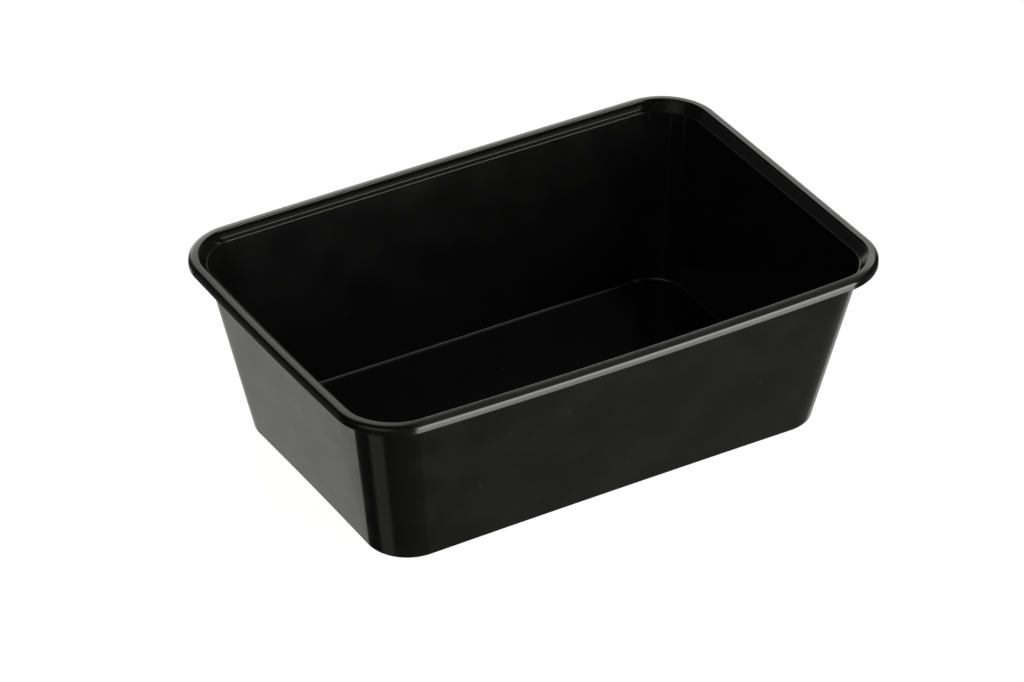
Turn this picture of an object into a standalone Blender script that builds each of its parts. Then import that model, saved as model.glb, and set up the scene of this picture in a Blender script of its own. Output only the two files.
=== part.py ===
"""A rectangular takeaway tub, moulded in one piece from black polypropylene.

The tub is empty and open. Its walls lean outwards to a rounded shoulder, where a short upright
collar carries a flat flange, and the flange turns down into a lip all the way round. It stands on
a narrow foot ring round a shallow recess.

Metres, +Z up. The origin is at the middle of the underside, and X runs along the tub.
"""
from math import cos, pi, radians, sin

import bmesh
import bpy

LENGTH = 0.175
WIDTH = 0.120
HEIGHT = 0.0561

# The rim, measured inwards from its outline and down from its top. The ledge inside it is flat along
# the long sides. Its outer edge is lifted round the corners and along the short sides, where it slopes.
RIM_CORNER_RADIUS = 0.0176
FLANGE_WIDTH = 0.0029
FLANGE_FALL = 0.0001
LIP_DEPTH = 0.00285
LIP_CROWN_WIDTH = 0.0016
LIP_CROWN_DEPTH = 0.0013
COLLAR_DEPTH = 0.00305
LEDGE_LIFT = 0.0022
LEDGE_LIFT_SPREAD = 1.35

# The drafted wall, by the outline of its outer face at the foot and under the shoulder.
SHOULDER_INSET_X = 0.0051
SHOULDER_INSET_Y = 0.0045
SHOULDER_DROP = 0.0050
SHOULDER_CORNER_RADIUS = 0.0140
FOOT_INSET_X = 0.01477
FOOT_INSET_Y = 0.01526
FOOT_CORNER_RADIUS = 0.0131

SKIN = 0.00056
FLOOR_SKIN = 0.00065
RECESS_DEPTH = 0.0005
FOOT_RING_WIDTH = 0.0024

# How far a side's middle stands out past its ends, and how far the rim sags between corners.
RIM_BOW_X = 0.0007
RIM_BOW_Y = 0.0013
FOOT_BOW = -0.00045
RIM_SAG_X = 0.00055
RIM_SAG_Y = 0.0006

FOOT_ROUNDING = 0.0006
FLOOR_FILLET = 0.0008
SMALL_ROUNDING = 0.0003
FLANGE_ROUNDING = 0.0004

CORNER_STEPS = 10
LONG_SIDE_STEPS = 5
SHORT_SIDE_STEPS = 3
WALL_STEPS = 4
QUARTER_TURN = pi / 2


def clear_scene():
    for thing in list(bpy.data.objects):
        bpy.data.objects.remove(thing, do_unlink=True)


def between(low, high, share):
    return low + (high - low) * share


def quadrant(half_length, half_width, radius):
    """A quarter of the outline, from the middle of the +X side to the middle of the +Y side."""
    corner_x = half_length - radius
    corner_y = half_width - radius
    side = [(half_length, corner_y * i / SHORT_SIDE_STEPS) for i in range(SHORT_SIDE_STEPS)]
    turns = [QUARTER_TURN * i / CORNER_STEPS for i in range(CORNER_STEPS + 1)]
    corner = [(corner_x + radius * cos(turn), corner_y + radius * sin(turn)) for turn in turns]
    end = [(corner_x * (1 - i / LONG_SIDE_STEPS), half_width) for i in range(1, LONG_SIDE_STEPS + 1)]
    return side + corner + end


def ring(half_length, half_width, radius, height, ledge_lift=0.0):
    """One closed ring of points, with its sides bowed and sagging as they do at that height."""
    rise = height / HEIGHT
    bow_x = between(FOOT_BOW, RIM_BOW_X, rise)
    bow_y = between(FOOT_BOW, RIM_BOW_Y, rise)
    first = quadrant(half_length, half_width, radius)
    second = [(-x, y) for x, y in reversed(first)]
    half = first[:-1] + second[:-1]
    points = []
    for x, y in half + [(-x, -y) for x, y in half]:
        along = (x / half_length) ** 2
        across = (y / half_width) ** 2
        sag = RIM_SAG_Y * (1 - along) + RIM_SAG_X * (1 - across)
        share = min(max(abs(x) - half_length + radius, 0) / radius * LEDGE_LIFT_SPREAD, 1)
        lift = ledge_lift * share ** 2 * (3 - 2 * share)
        points.append((
            x * (1 - bow_x * across / half_length),
            y * (1 - bow_y * along / half_width),
            height - sag * rise ** 2 + lift,
        ))
    return points


def rim_ring(inset, drop, ledge_lift=0.0):
    half_length = LENGTH / 2 - inset
    half_width = WIDTH / 2 - inset
    return ring(half_length, half_width, RIM_CORNER_RADIUS - inset, HEIGHT - drop, ledge_lift)


def wall_ring(inward, height):
    """A ring that lies inward of the wall's outer face, at that height."""
    rise = height / (HEIGHT - SHOULDER_DROP)
    inset_x = between(FOOT_INSET_X, SHOULDER_INSET_X, rise) + inward
    inset_y = between(FOOT_INSET_Y, SHOULDER_INSET_Y, rise) + inward
    radius = between(FOOT_CORNER_RADIUS, SHOULDER_CORNER_RADIUS, rise) - inward
    return ring(LENGTH / 2 - inset_x, WIDTH / 2 - inset_y, radius, height)


def quarter(start, end, steps, leaves_sideways):
    """Points of a quarter ellipse after start, up to end. It leaves start sideways or up and down."""
    run = end[0] - start[0]
    climb = end[1] - start[1]
    points = []
    for i in range(1, steps + 1):
        turn = QUARTER_TURN * i / steps
        quick, slow = sin(turn), 1 - cos(turn)
        if leaves_sideways:
            points.append((start[0] + run * quick, start[1] + climb * slow))
        else:
            points.append((start[0] + run * slow, start[1] + climb * quick))
    return points


def underside_rings():
    edge = FOOT_ROUNDING
    foot = (edge, 0)
    rounding = quarter(foot, (0, edge), 3, leaves_sideways=True)
    section = [(FOOT_RING_WIDTH + RECESS_DEPTH, RECESS_DEPTH), (FOOT_RING_WIDTH, 0), foot] + rounding
    return [wall_ring(inward, height) for inward, height in section]


def outer_wall_rings():
    low = FOOT_ROUNDING
    high = HEIGHT - COLLAR_DEPTH - SKIN - SMALL_ROUNDING
    heights = [between(low, high, i / WALL_STEPS) for i in range(1, WALL_STEPS + 1)]
    turn = quarter((0, high), (-SMALL_ROUNDING, high + SMALL_ROUNDING), 2, leaves_sideways=False)
    return [wall_ring(inward, height) for inward, height in [(0, height) for height in heights] + turn]


def outer_collar_rings():
    """From under the shoulder, up the collar, under the flange and down the inside of the lip."""
    face = FLANGE_WIDTH - SKIN
    under_shoulder = COLLAR_DEPTH + SKIN
    under_flange = SKIN + FLANGE_FALL
    corner = (face + SMALL_ROUNDING, under_shoulder)
    foot = [corner] + quarter(corner, (face, under_shoulder - SMALL_ROUNDING), 2, leaves_sideways=True)
    section = [(face, under_flange), (SKIN + LIP_CROWN_WIDTH / 2, under_flange)]
    section += quarter(section[-1], (SKIN, SKIN + LIP_CROWN_DEPTH), 3, leaves_sideways=True)
    section += [(SKIN, LIP_DEPTH - SKIN / 2)]
    rings = [rim_ring(inset, drop, LEDGE_LIFT) for inset, drop in foot]
    return rings + [rim_ring(inset, drop) for inset, drop in section]


def lip_rings():
    """Round the lip's lower edge, up its face, over its crown and across the flange."""
    middle = (SKIN / 2, LIP_DEPTH)
    face = (0, LIP_DEPTH - SKIN / 2)
    top = (0, FLANGE_FALL + LIP_CROWN_DEPTH)
    section = quarter((SKIN, LIP_DEPTH - SKIN / 2), middle, 2, leaves_sideways=False)
    section += quarter(middle, face, 2, leaves_sideways=True)
    section += [top]
    section += quarter(top, (LIP_CROWN_WIDTH, FLANGE_FALL), 6, leaves_sideways=False)
    section += [(FLANGE_WIDTH - FLANGE_ROUNDING, 0)]
    return [rim_ring(inset, drop) for inset, drop in section]


def inner_collar_rings():
    """From the flange's inner edge down the collar and into the fillet of the ledge."""
    flange = (FLANGE_WIDTH - FLANGE_ROUNDING, 0)
    low = (FLANGE_WIDTH, COLLAR_DEPTH - SMALL_ROUNDING)
    ledge = (FLANGE_WIDTH + SMALL_ROUNDING, COLLAR_DEPTH)
    section = quarter(flange, (FLANGE_WIDTH, FLANGE_ROUNDING), 3, leaves_sideways=True)
    foot = [low] + quarter(low, ledge, 2, leaves_sideways=False)
    rings = [rim_ring(inset, drop) for inset, drop in section]
    return rings + [rim_ring(inset, drop, LEDGE_LIFT) for inset, drop in foot]


def inner_wall_rings():
    """From the ledge's inner edge down the wall, round the floor's fillet to the floor."""
    ledge = (SKIN + SMALL_ROUNDING, HEIGHT - COLLAR_DEPTH)
    high = ledge[1] - SMALL_ROUNDING
    floor = RECESS_DEPTH + FLOOR_SKIN
    low = floor + FLOOR_FILLET
    section = [ledge] + quarter(ledge, (SKIN, high), 3, leaves_sideways=True)
    section += [(SKIN, between(high, low, i / WALL_STEPS)) for i in range(1, WALL_STEPS + 1)]
    section += quarter((SKIN, low), (SKIN + FLOOR_FILLET, floor), 4, leaves_sideways=False)
    return [wall_ring(inward, height) for inward, height in section]


def container_mesh():
    """The first ring is capped and extruded from ring to ring, and the last one is capped too."""
    rings = underside_rings() + outer_wall_rings() + outer_collar_rings()
    rings += lip_rings() + inner_collar_rings() + inner_wall_rings()
    bm = bmesh.new()
    slot = bm.verts.layers.int.new("slot")
    verts = bmesh.ops.create_circle(bm, segments=len(rings[0]), radius=LENGTH)["verts"]
    for index, (vert, point) in enumerate(zip(verts, rings[0])):
        vert[slot] = index
        vert.co = point
    edges = list(bm.edges)
    bmesh.ops.contextual_create(bm, geom=edges)
    for points in rings[1:]:
        geom = bmesh.ops.extrude_edge_only(bm, edges=edges)["geom"]
        edges = [item for item in geom if isinstance(item, bmesh.types.BMEdge)]
        for vert in geom:
            if isinstance(vert, bmesh.types.BMVert):
                vert.co = points[vert[slot]]
    bmesh.ops.contextual_create(bm, geom=edges)
    bmesh.ops.recalc_face_normals(bm, faces=bm.faces)
    mesh = bpy.data.meshes.new("container")
    bm.to_mesh(mesh)
    bm.free()
    mesh.shade_smooth()
    mesh.set_sharp_from_angle(angle=radians(40))
    return mesh


def black_plastic():
    material = bpy.data.materials.new("black_plastic")
    material.use_nodes = True
    shader = material.node_tree.nodes["Principled BSDF"]
    shader.inputs["Base Color"].default_value = (0.008, 0.008, 0.008, 1.0)
    shader.inputs["Roughness"].default_value = 0.15
    shader.inputs["Metallic"].default_value = 0.0
    return material


def build():
    clear_scene()
    mesh = container_mesh()
    mesh.materials.append(black_plastic())
    container = bpy.data.objects.new("container", mesh)
    bpy.context.scene.collection.objects.link(container)


build()
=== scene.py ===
from math import cos, hypot, pi, radians, sin

import bmesh
import bpy
from mathutils import Matrix, Vector


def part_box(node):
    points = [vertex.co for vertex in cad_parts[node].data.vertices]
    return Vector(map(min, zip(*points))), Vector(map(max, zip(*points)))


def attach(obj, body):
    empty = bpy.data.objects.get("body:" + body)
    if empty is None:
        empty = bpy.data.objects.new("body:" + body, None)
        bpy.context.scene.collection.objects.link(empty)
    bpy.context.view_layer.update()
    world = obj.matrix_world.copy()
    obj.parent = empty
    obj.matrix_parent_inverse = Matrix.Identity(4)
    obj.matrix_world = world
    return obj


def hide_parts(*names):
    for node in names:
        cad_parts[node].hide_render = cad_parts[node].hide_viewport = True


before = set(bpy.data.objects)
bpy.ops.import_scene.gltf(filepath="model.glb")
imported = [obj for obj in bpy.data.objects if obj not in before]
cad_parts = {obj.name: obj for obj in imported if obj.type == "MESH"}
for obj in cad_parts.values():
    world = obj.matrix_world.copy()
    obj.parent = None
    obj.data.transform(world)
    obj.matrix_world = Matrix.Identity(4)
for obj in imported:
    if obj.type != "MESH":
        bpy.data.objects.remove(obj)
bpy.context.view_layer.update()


# The tub. A real one is shot from black polypropylene in one go: a thin skin with leaning walls, an
# upright collar over a ledge that the lid drops onto, and a flange turned down into a lip. Here it
# grows ring by ring from the gate under its floor, out, up and over the rim, and back in to the floor.
low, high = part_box("container")
LENGTH = high[0] - low[0]
WIDTH = high[1] - low[1]
HEIGHT = 0.0561
SHOULDER_HEIGHT = 0.0511

SKIN = 0.00056
FLOOR_SKIN = 0.00065
RECESS_DEPTH = 0.0005
FOOT_RING_WIDTH = 0.0024
GATE_STUB_DROP = 0.00025
GATE_STUB_TIP = 0.0009
GATE_STUB_FOOT = 0.0011
GATE_WELL_DEPTH = 0.00015
GATE_WELL_FLOOR = 0.0030
GATE_WELL_MOUTH = 0.0036
FLANGE_WIDTH = 0.0029
FLANGE_FALL = 0.0001
LIP_DEPTH = 0.00285
CROWN_WIDTH = 0.0016
CROWN_DEPTH = 0.0013
COLLAR_DEPTH = 0.00305
RIM_RADIUS = 0.0176
# The wall's outer face at the foot and at the shoulder: its insets along X and Y, its corner radius.
WALL_FOOT = (0.01477, 0.01526, 0.0131)
WALL_SHOULDER = (0.0051, 0.0045, 0.0140)
# The radii that its edges are rounded to.
GATE_ROUNDING = 0.0001
FOOT_ROUNDING = 0.0006
LIP_ROUNDING = 0.00027
FLANGE_ROUNDING = 0.0004
UNDER_FLANGE_ROUNDING = 0.0002
LEDGE_ROUNDING = 0.00022
FLOOR_FILLET = 0.0008
SMALL_ROUNDING = 0.0003
CORNER_STEPS = 26
CROWN_STEPS = 9
ROUNDING_STEPS = 4
FLOOR_FILLET_STEPS = 7


def rim_size(inset, drop):
    """Half length, half width, corner radius and height of a ring of the rim."""
    return LENGTH / 2 - inset, WIDTH / 2 - inset, RIM_RADIUS - inset, HEIGHT - drop


def wall_size(inward, height):
    """The same for a ring of the leaning wall, inward of its outer face."""
    rise = height / SHOULDER_HEIGHT
    inset_x, inset_y, radius = (foot + (top - foot) * rise for foot, top in zip(WALL_FOOT, WALL_SHOULDER))
    return LENGTH / 2 - inset_x - inward, WIDTH / 2 - inset_y - inward, radius - inward, height


def round_size(radius, height):
    """The same for a plain circle about the middle."""
    return radius, radius, radius, height


def grow(bm, edges, size_now, size_next):
    """Extrudes a ring and gives each quarter of it its next radius, centre and height."""
    geom = bmesh.ops.extrude_edge_only(bm, edges=edges)["geom"]
    ring = [item for item in geom if isinstance(item, bmesh.types.BMVert)]
    for side_x in (-1, 1):
        for side_y in (-1, 1):
            corner = [v for v in ring if v.co.x * side_x > 0 and v.co.y * side_y > 0]
            centres = []
            for half_x, half_y, radius, height in (size_now, size_next):
                centres.append(Vector((side_x * (half_x - radius), side_y * (half_y - radius), height)))
            ratio = size_next[2] / size_now[2]
            about = Matrix.Translation(-centres[0])
            bmesh.ops.scale(bm, verts=corner, vec=(ratio, ratio, 1), space=about)
            bmesh.ops.translate(bm, verts=corner, vec=centres[1] - centres[0])
    return [item for item in geom if isinstance(item, bmesh.types.BMEdge)]


under_flange = SKIN + FLANGE_FALL
floor_top = RECESS_DEPTH + FLOOR_SKIN
well = RECESS_DEPTH + GATE_WELL_DEPTH
# Each step is a ring's size and the radius that its edge is rounded to.
steps = [
    (round_size(GATE_STUB_TIP, RECESS_DEPTH - GATE_STUB_DROP), 0),
    (round_size(GATE_STUB_FOOT, well), 0),
    (round_size(GATE_WELL_FLOOR, well), 0),
    (round_size(GATE_WELL_MOUTH, RECESS_DEPTH), GATE_ROUNDING),
    (wall_size(FOOT_RING_WIDTH + RECESS_DEPTH, RECESS_DEPTH), SMALL_ROUNDING),
    (wall_size(FOOT_RING_WIDTH, 0), SMALL_ROUNDING),
    (wall_size(0, 0), FOOT_ROUNDING),
    (wall_size(0, HEIGHT - COLLAR_DEPTH - SKIN), SMALL_ROUNDING),
    (rim_size(FLANGE_WIDTH - SKIN, COLLAR_DEPTH + SKIN), SMALL_ROUNDING),
    (rim_size(FLANGE_WIDTH - SKIN, under_flange), UNDER_FLANGE_ROUNDING),
    (rim_size(SKIN + CROWN_WIDTH / 2, under_flange), SMALL_ROUNDING),
    (rim_size(SKIN, under_flange + CROWN_DEPTH / 2), SMALL_ROUNDING),
    (rim_size(SKIN, LIP_DEPTH), LIP_ROUNDING),
    (rim_size(0, LIP_DEPTH), LIP_ROUNDING),
]
for i in range(CROWN_STEPS + 1):
    turn = pi / 2 * i / CROWN_STEPS
    inset = CROWN_WIDTH * (1 - cos(turn))
    drop = FLANGE_FALL + CROWN_DEPTH * (1 - sin(turn))
    steps.append((rim_size(inset, drop), 0))
steps += [
    (rim_size(FLANGE_WIDTH, 0), FLANGE_ROUNDING),
    (rim_size(FLANGE_WIDTH, COLLAR_DEPTH), LEDGE_ROUNDING),
    (wall_size(SKIN, HEIGHT - COLLAR_DEPTH), LEDGE_ROUNDING),
    (wall_size(SKIN, floor_top), FLOOR_FILLET),
]

tub_mesh = bmesh.new()
rounding = tub_mesh.edges.layers.float.new("rounding")
half_step = Matrix.Rotation(pi / 4 / CORNER_STEPS, 4, "Z") @ Matrix.Translation((0, 0, steps[0][0][3]))
bmesh.ops.create_circle(tub_mesh, cap_ends=True, segments=4 * CORNER_STEPS, radius=steps[0][0][2],
                        matrix=half_step)
ring = list(tub_mesh.edges)
for (size_now, _), (size_next, radius) in zip(steps, steps[1:]):
    ring = grow(tub_mesh, ring, size_now, size_next)
    for edge in ring:
        edge[rounding] = radius
bmesh.ops.contextual_create(tub_mesh, geom=ring)

for radius in sorted({step[1] for step in steps if step[1] > 0}, reverse=True):
    edges = [edge for edge in tub_mesh.edges if abs(edge[rounding] - radius) < 1e-6]
    rounding_steps = FLOOR_FILLET_STEPS if radius == FLOOR_FILLET else ROUNDING_STEPS
    bmesh.ops.bevel(tub_mesh, geom=edges, affect="EDGES", offset=radius, segments=rounding_steps,
                    profile=0.5, material=-1)

# The straight sides are cut across, so that they can bow and sag: the axis, how far out, how far apart.
for axis, reach, pitch in ((0, 0.058, 0.0116), (1, 0.030, 0.0075)):
    for i in range(round(2 * reach / pitch) + 1):
        cut = [0, 0, 0]
        normal = [0, 0, 0]
        cut[axis] = i * pitch - reach
        normal[axis] = 1
        everything = tub_mesh.verts[:] + tub_mesh.edges[:] + tub_mesh.faces[:]
        bmesh.ops.bisect_plane(tub_mesh, geom=everything, plane_co=cut, plane_no=normal, dist=1e-7)

# A moulded tub's sides stand out a little in the middle, and its rim sags between the corners. The
# ledge's outer edge is lifted round the corners and along the short sides, on both faces of the skin.
RIM_BOW_X = 0.0007
RIM_BOW_Y = 0.0013
FOOT_BOW = -0.00045
RIM_SAG_X = 0.00055
RIM_SAG_Y = 0.0006
LEDGE_LIFT = 0.0022
LEDGE_LIFT_SPREAD = 1.35
# Where the rim ends and the wall begins, and how far down the collar the lift begins.
RIM_REACH = 0.0035
LEDGE_DROP = 0.0023


def past_corner(x, y, size):
    """How far a point lies past the middle of an outline's corner, all told and along X."""
    half_x, half_y, radius, _ = size
    past_x = max(abs(x) - (half_x - radius), 0)
    past_y = max(abs(y) - (half_y - radius), 0)
    return hypot(past_x, past_y), past_x


for vert in tub_mesh.verts:
    x, y, z = vert.co
    outline = rim_size(0, 0)
    reach, past_x = past_corner(x, y, outline)
    inset = RIM_RADIUS - reach
    lift = 0
    if inset > RIM_REACH:
        outline = wall_size(0, z)
        reach = past_corner(x, y, outline)[0]
    elif inset > FLANGE_WIDTH / 2 and z < HEIGHT - LEDGE_DROP:
        share = min(past_x / reach * LEDGE_LIFT_SPREAD, 1)
        lift = LEDGE_LIFT * share ** 2 * (3 - 2 * share)
    half_x = outline[0] + reach - outline[2]
    half_y = outline[1] + reach - outline[2]
    along = (x / half_x) ** 2
    across = (y / half_y) ** 2
    rise = z / HEIGHT
    bow_x = FOOT_BOW + (RIM_BOW_X - FOOT_BOW) * rise
    bow_y = FOOT_BOW + (RIM_BOW_Y - FOOT_BOW) * rise
    vert.co.x = x * (1 - bow_x * across / half_x)
    vert.co.y = y * (1 - bow_y * along / half_y)
    vert.co.z = z + lift - (RIM_SAG_Y * (1 - along) + RIM_SAG_X * (1 - across)) * rise ** 2

bmesh.ops.recalc_face_normals(tub_mesh, faces=tub_mesh.faces)
mesh = bpy.data.meshes.new("tub")
tub_mesh.to_mesh(mesh)
mesh.shade_smooth()
tub = bpy.data.objects.new("tub", mesh)
bpy.context.scene.collection.objects.link(tub)
flat_faces = tub.modifiers.new("flat faces stay flat", "WEIGHTED_NORMAL")
flat_faces.mode = "FACE_AREA"
flat_faces.weight = 50


class Wire:
    """An output in a node tree. A sum of wires, or of a wire and a number, adds its Math nodes."""

    def __init__(self, tree, socket=None):
        self.tree = tree
        self.socket = socket

    def node(self, kind, settings, inputs, output=0):
        made = self.tree.nodes.new(kind)
        for name, value in settings.items():
            setattr(made, name, value)
        for name, value in inputs.items():
            if isinstance(value, Wire):
                self.tree.links.new(value.socket, made.inputs[name])
            else:
                made.inputs[name].default_value = value
        return Wire(self.tree, made.outputs[output] if len(made.outputs) else None)

    def math(self, operation, *values):
        return self.node("ShaderNodeMath", {"operation": operation}, dict(enumerate(values)))

    def __add__(self, other):
        return self.math("ADD", self, other)

    def __sub__(self, other):
        return self.math("SUBTRACT", self, other)

    def __rsub__(self, other):
        return self.math("SUBTRACT", other, self)

    def __mul__(self, other):
        return self.math("MULTIPLY", self, other)

    def __abs__(self):
        return self.math("ABSOLUTE", self)

    __radd__ = __add__
    __rmul__ = __mul__

    def step(self, start, end, low=0.0, high=1.0):
        """A soft step from low at start to high at end."""
        return self.node("ShaderNodeMapRange", {"interpolation_type": "SMOOTHSTEP"},
                         {"Value": self, "From Min": start, "From Max": end, "To Min": low, "To Max": high})

    def mix(self, colour_low, colour_high):
        """Goes from one colour to another as this wire goes from 0 to 1."""
        return self.node("ShaderNodeMix", {"data_type": "RGBA"}, {0: self, 6: colour_low, 7: colour_high}, 2)


plastic = bpy.data.materials.new("black_plastic")
plastic.use_nodes = True
nodes = Wire(plastic.node_tree)
place = nodes.node("ShaderNodeTexCoord", {}, {}, "Object")


def cloud(scale, detail=2.0, roughness=0.5):
    """A soft random pattern, scale being its waves to the metre."""
    return nodes.node("ShaderNodeTexNoise", {}, {"Vector": place, "Scale": scale, "Detail": detail,
                                                "Roughness": roughness}, "Fac")


# Slow flow marks, patches of duller plastic, the mould's fine grain and a few specks of dust. Their
# heights are in millimetres.
flow = cloud(26, 1.0)
patches = cloud(75, 3.0)
grain = cloud(2600, 2.0)
speck_distance = nodes.node("ShaderNodeTexVoronoi", {"feature": "F1"}, {"Vector": place, "Scale": 95.0},
                            "Distance")
speck = speck_distance.step(0.020, 0.011)

shader = plastic.node_tree.nodes["Principled BSDF"]
shader.inputs["IOR"].default_value = 1.49
shader.inputs["Metallic"].default_value = 0.0
colour = patches.step(0.35, 0.65).mix((0.0055, 0.0054, 0.0053, 1), (0.0073, 0.0072, 0.0070, 1))
colour = speck.mix(colour, (0.07, 0.07, 0.066, 1))
gloss = patches.step(0.3, 0.7, 0.12, 0.17) + grain * 0.03 + speck * 0.3
height = flow * 0.027 + patches * 0.004 + grain * 0.0009 + speck * 0.02
dents = nodes.node("ShaderNodeBump", {}, {"Height": height, "Strength": 1.0, "Distance": 0.001}, "Normal")
for name, wire in (("Base Color", colour), ("Roughness", gloss), ("Normal", dents)):
    plastic.node_tree.links.new(wire.socket, shader.inputs[name])
mesh.materials.append(plastic)

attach(tub, "root")
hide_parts("container")


# The studio table: a wide round sheet of white paper, lit so brightly that it is pure white. The camera
# sees it, and the tub mirrors the light's own patches below the horizon instead. From below the sheet is
# clear, so that the tub's underside shows.
TABLE_RADIUS = 6.0
paper_mesh = bmesh.new()
middle = paper_mesh.verts.new((0, 0, 0))
edge = paper_mesh.verts.new((TABLE_RADIUS, 0, 0))
line = paper_mesh.edges.new((middle, edge))
bmesh.ops.spin(paper_mesh, geom=[middle, edge, line], cent=(0, 0, 0), axis=(0, 0, 1), angle=2 * pi,
               steps=96, use_merge=True)
bmesh.ops.remove_doubles(paper_mesh, verts=paper_mesh.verts[:], dist=1e-5)
bmesh.ops.recalc_face_normals(paper_mesh, faces=paper_mesh.faces[:])
mesh = bpy.data.meshes.new("table")
paper_mesh.to_mesh(mesh)
table = bpy.data.objects.new("table", mesh)
bpy.context.scene.collection.objects.link(table)

paper = bpy.data.materials.new("white_paper")
paper.use_nodes = True
shader = paper.node_tree.nodes["Principled BSDF"]
shader.inputs["Base Color"].default_value = (0.12, 0.12, 0.12, 1)
shader.inputs["Roughness"].default_value = 0.9
shader.inputs["Specular IOR Level"].default_value = 0.1
shader.inputs["Emission Color"].default_value = (1.0, 1.0, 0.995, 1)
shader.inputs["Emission Strength"].default_value = 0.985
nodes = Wire(paper.node_tree)
from_below = nodes.node("ShaderNodeNewGeometry", {}, {}, "Backfacing")
clear = nodes.node("ShaderNodeBsdfTransparent", {}, {})
sheet = Wire(paper.node_tree, shader.outputs["BSDF"])
seen = nodes.node("ShaderNodeMixShader", {}, {0: from_below, 1: sheet, 2: clear})
paper.node_tree.links.new(seen.socket, paper.node_tree.nodes["Material Output"].inputs["Surface"])
mesh.materials.append(paper)
table.visible_glossy = False
table.visible_diffuse = False
table.visible_shadow = False


# The light. Soft boxes stand round the tub: a tall one at the front right, a wide white wall behind
# to the right, weaker ones above, and below the horizon what the white table sends back. They are
# painted on the world, so that each part of the tub mirrors its own.
ROOM_GLOW = 0.03
# Azimuth 0 is +Y and grows towards -X. Each row is azimuth, half width and its soft edge, elevation,
# half height and its soft edge, all in degrees, and brightness.
soft_boxes = [
    ("front right key", -154.5, 16.5, 3, -3, 32, 14, 6.2),
    ("its bright middle", -148, 10, 2, 9, 12, 6, 2.2),
    ("white wall behind", -26, 30, 11, 9, 29.5, 2.5, 1.25),
    ("its upper part", -12, 19.5, 2, 47, 8.5, 4, 1.25),
    ("its bright middle left", -16, 14, 8, 12, 18, 8, 1.1),
    ("lamp at the right", -55, 5, 3, 34.5, 4, 3, 2.5),
    ("beside the lamp", -44, 8, 4, 32.5, 3.5, 3, 1.2),
    ("upper right", -58, 18, 8, 50, 12, 6, 0.35),
    ("overhead", -112, 34, 12, 58, 14, 8, 0.36),
    ("table behind left", -16, 33.5, 1.5, -41, 12, 4, 0.62),
    ("table behind right", -60, 14, 4, -44, 7, 2, 0.5),
    ("dim room right", -75, 30, 6, -35, 12, 4, 0.1),
    ("dim room left", 35, 16, 4, -5, 32, 5, 0.07),
    ("table left", 85, 20, 2, -60, 12, 5, 0.20),
    ("table in front", -95, 42, 10, -58, 14, 6, 0.125),
    ("table under the front", -95, 20, 10, -74, 6, 3, 1.0),
    ("fill left", 120, 25, 15, 25, 25, 15, 0.6),
]
world = bpy.data.worlds.new("studio")
world.use_nodes = True
bpy.context.scene.world = world
nodes = Wire(world.node_tree)
direction = nodes.node("ShaderNodeTexCoord", {}, {}, "Generated")
parts = nodes.node("ShaderNodeSeparateXYZ", {}, {"Vector": direction})
x, y, z = (Wire(world.node_tree, socket) for socket in parts.socket.node.outputs)
azimuth = nodes.math("ARCTAN2", 0 - x, y) * (180 / pi)
elevation = nodes.math("ARCSINE", z) * (180 / pi)
glow = ROOM_GLOW
for _, centre, half_width, soft, height, half_height, soft_end, brightness in soft_boxes:
    aside = abs(nodes.math("WRAP", azimuth - centre, 180.0, -180.0))
    above = abs(elevation - height)
    shape = aside.step(half_width + soft, half_width - soft) * above.step(half_height + soft_end,
                                                                       half_height - soft_end)
    glow = glow + shape * brightness
background = world.node_tree.nodes["Background"]
background.inputs["Color"].default_value = (0.995, 1.0, 0.965, 1)
world.node_tree.links.new(glow.socket, background.inputs["Strength"])


# The camera. It has a long lens and stands high in front of the tub's near long side, off towards its
# left corner. Its place is measured from the middle of the tub's foot along its own axes.
PHOTO_WIDTH = 1024
SENSOR = 36.0
FOCAL_PIXELS = 5366
CAMERA_BACK = 1.55967
CAMERA_RIGHT = -0.00615
CAMERA_UP = 0.02159
camera_data = bpy.data.cameras.new("camera")
camera_data.sensor_width = SENSOR
camera_data.lens = FOCAL_PIXELS * SENSOR / PHOTO_WIDTH
camera = bpy.data.objects.new("camera", camera_data)
bpy.context.scene.collection.objects.link(camera)
turn, tilt, roll = radians(-30.5305), radians(33.4211), radians(-0.0816)
back = Vector((sin(turn) * cos(tilt), -cos(turn) * cos(tilt), sin(tilt)))
level = Vector((cos(turn), sin(turn), 0))
upright = back.cross(level)
right = level * cos(roll) + upright * sin(roll)
up = upright * cos(roll) - level * sin(roll)
camera.matrix_world = Matrix((right, up, back)).transposed().to_4x4()
camera.location = back * CAMERA_BACK + right * CAMERA_RIGHT + up * CAMERA_UP
bpy.context.scene.camera = camera
bpy.context.scene.view_settings.view_transform = "Standard"
